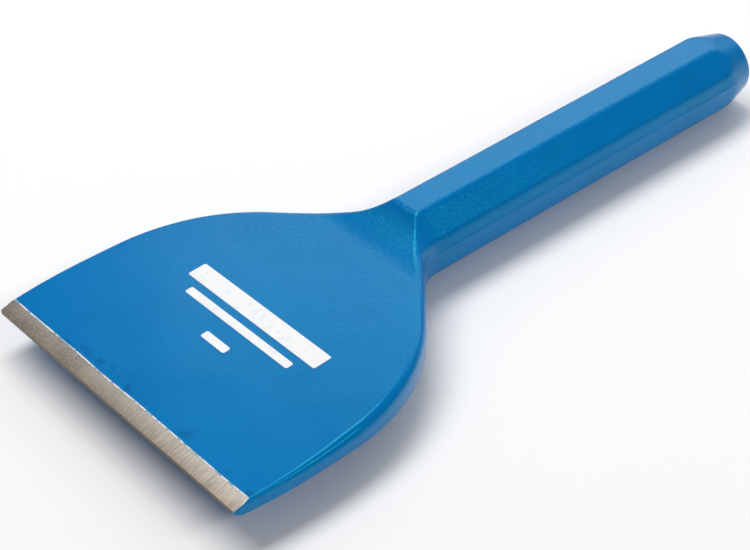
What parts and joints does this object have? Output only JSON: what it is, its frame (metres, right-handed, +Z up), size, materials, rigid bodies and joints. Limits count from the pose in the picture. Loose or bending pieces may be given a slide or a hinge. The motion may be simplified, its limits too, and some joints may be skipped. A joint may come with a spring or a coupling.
{
  "type": "brick bolster chisel",
  "caption": "Brick bolster chisel: wide flat painted blade with a ground bare cutting edge, concave neck, octagonal shank and tapered striking head.",
  "frame": {"origin": "under the middle of the bounding box, on the plane of the shank's bottom flat", "axes": "+X along the tool from the cutting edge to the struck head, +Y across the blade, +Z up out of the printed blade face"},
  "size_m": [0.216, 0.1026, 0.0225],
  "materials": {
    "ground_steel": "ground bare, fine lines square to the cutting edge",
    "blue_paint": "glossy blue lacquer over a forged surface, slight orange peel",
    "white_ink": "flat white screen print"
  },
  "bodies": {
    "root": {"steel_forging": "ground_steel", "paint_coat": "blue_paint", "printed_wide_bar": "white_ink", "printed_thin_bar": "white_ink", "printed_short_bar": "white_ink"}
  },
  "joints": []
}
